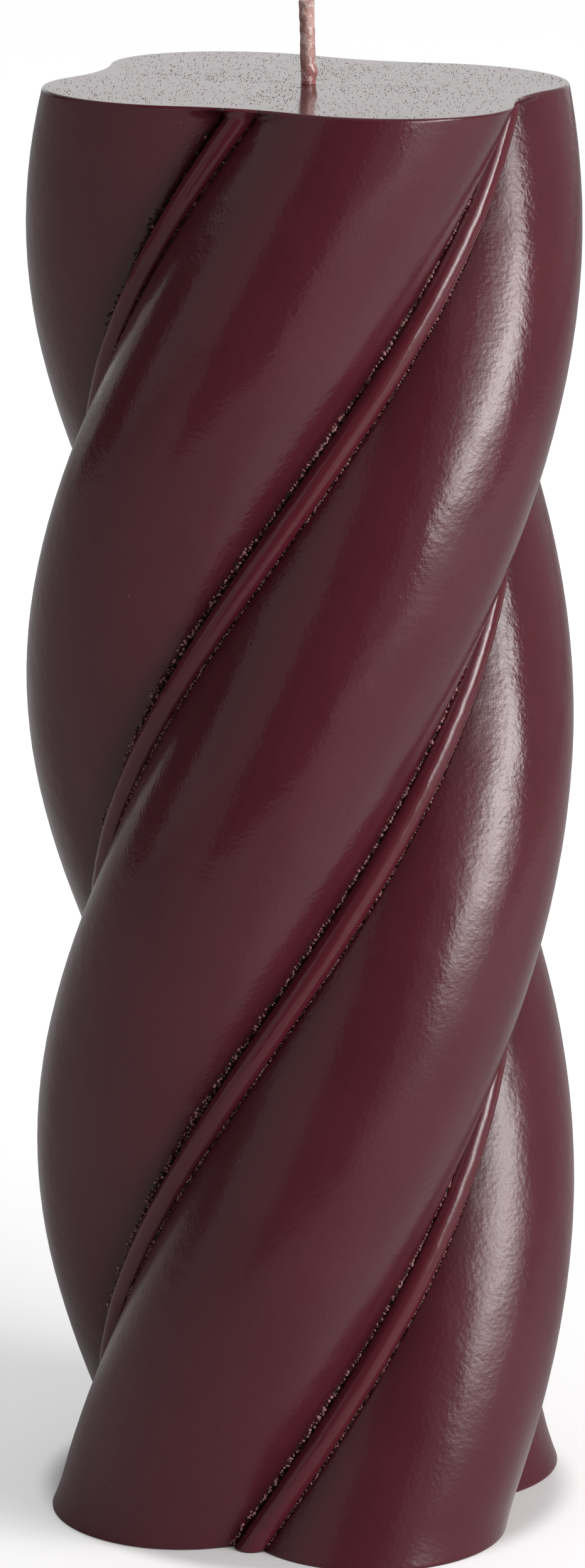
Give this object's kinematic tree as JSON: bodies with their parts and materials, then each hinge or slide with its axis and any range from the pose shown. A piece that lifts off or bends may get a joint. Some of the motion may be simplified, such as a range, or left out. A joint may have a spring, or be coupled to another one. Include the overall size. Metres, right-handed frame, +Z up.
{
  "type": "twisted pillar candle",
  "caption": "Free-standing pillar candle of burgundy wax, a lobed column twisted about its wick, with a slim bead in each groove, a flat top and a metal wick tab sealed into its base.",
  "frame": {"origin": "centre of the base, on the surface that the candle stands on, where the wick's axis meets it", "axes": "+Z up along the wick; -Y is the side that the picture shows; the top falls slightly towards +X"},
  "size_m": [0.07, 0.07, 0.1955],
  "materials": {
    "burgundy_wax": "satin",
    "waxed_cotton": "matte",
    "tinplate": "satin",
    "plug_wax": "matte"
  },
  "bodies": {
    "root": {"wax_body": "burgundy_wax", "wick": "waxed_cotton", "wick_tab": "tinplate", "base_plug": "plug_wax"}
  },
  "joints": []
}
